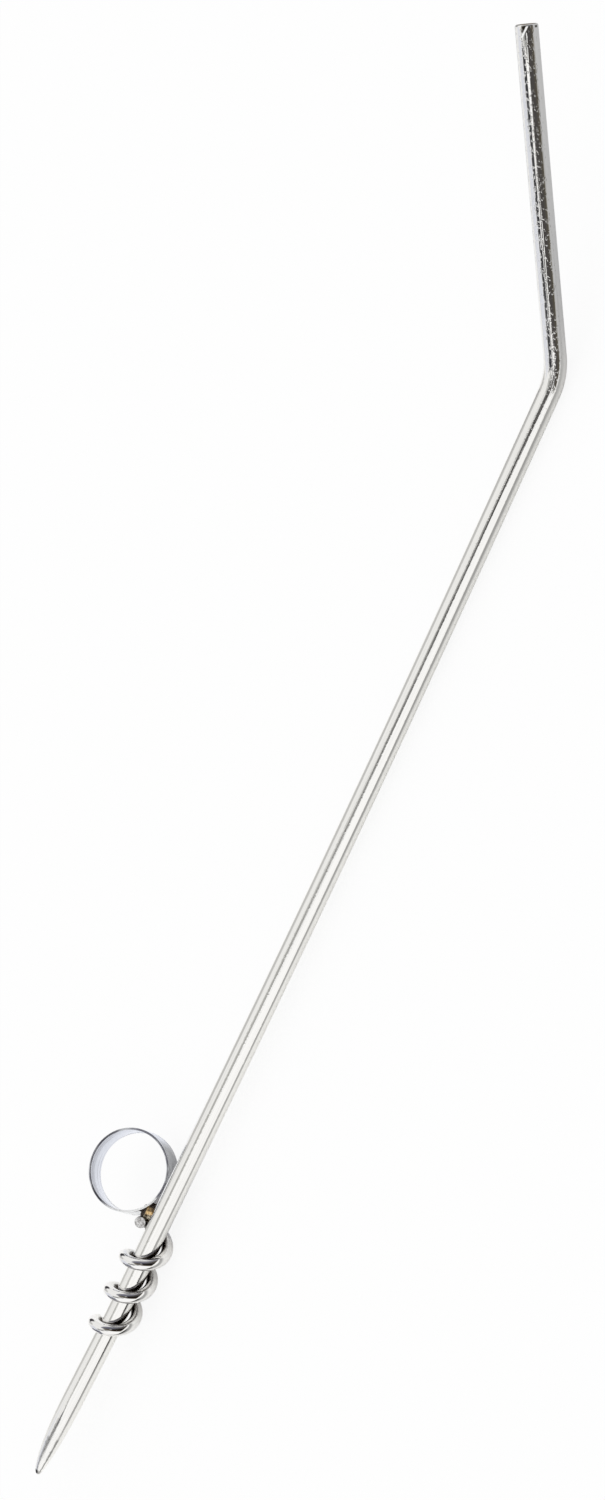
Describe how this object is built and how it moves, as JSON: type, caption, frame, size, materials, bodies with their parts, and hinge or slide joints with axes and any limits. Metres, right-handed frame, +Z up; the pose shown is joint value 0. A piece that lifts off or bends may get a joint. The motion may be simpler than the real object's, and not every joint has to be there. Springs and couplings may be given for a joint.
{
  "type": "inoculating loop",
  "caption": "Bent steel rod with a ground point, carrying a thin strip ring on a canted spring-wire clip that slides along its shank.",
  "frame": {"origin": "middle of the footprint, on the bench under the tool as it lies at rest", "axes": "+Z up from the bench; the shank runs along +X from the point towards the handle, 0.8 degrees off level; the viewer stands on the -Y side and the ring stands on the +Y side"},
  "size_m": [0.2174, 0.0192, 0.0216],
  "materials": {
    "drawn_steel": "bright drawn, with fine lengthwise draw marks",
    "bright_spring_wire": "polished",
    "polished_strip": "polished",
    "brazing_brass": "as brazed, with dark flux residue"
  },
  "bodies": {
    "rod": {"bent_rod": "drawn_steel"},
    "clip": {"clip_wire": "bright_spring_wire", "ring_band": "polished_strip", "braze_bead": "brazing_brass"}
  },
  "joints": [
    {"name": "clip_slide", "type": "slide", "parent": "rod", "child": "clip", "axis": [0.9999, 0, -0.0143], "range_m": [-0.014, 0.115]}
  ]
}
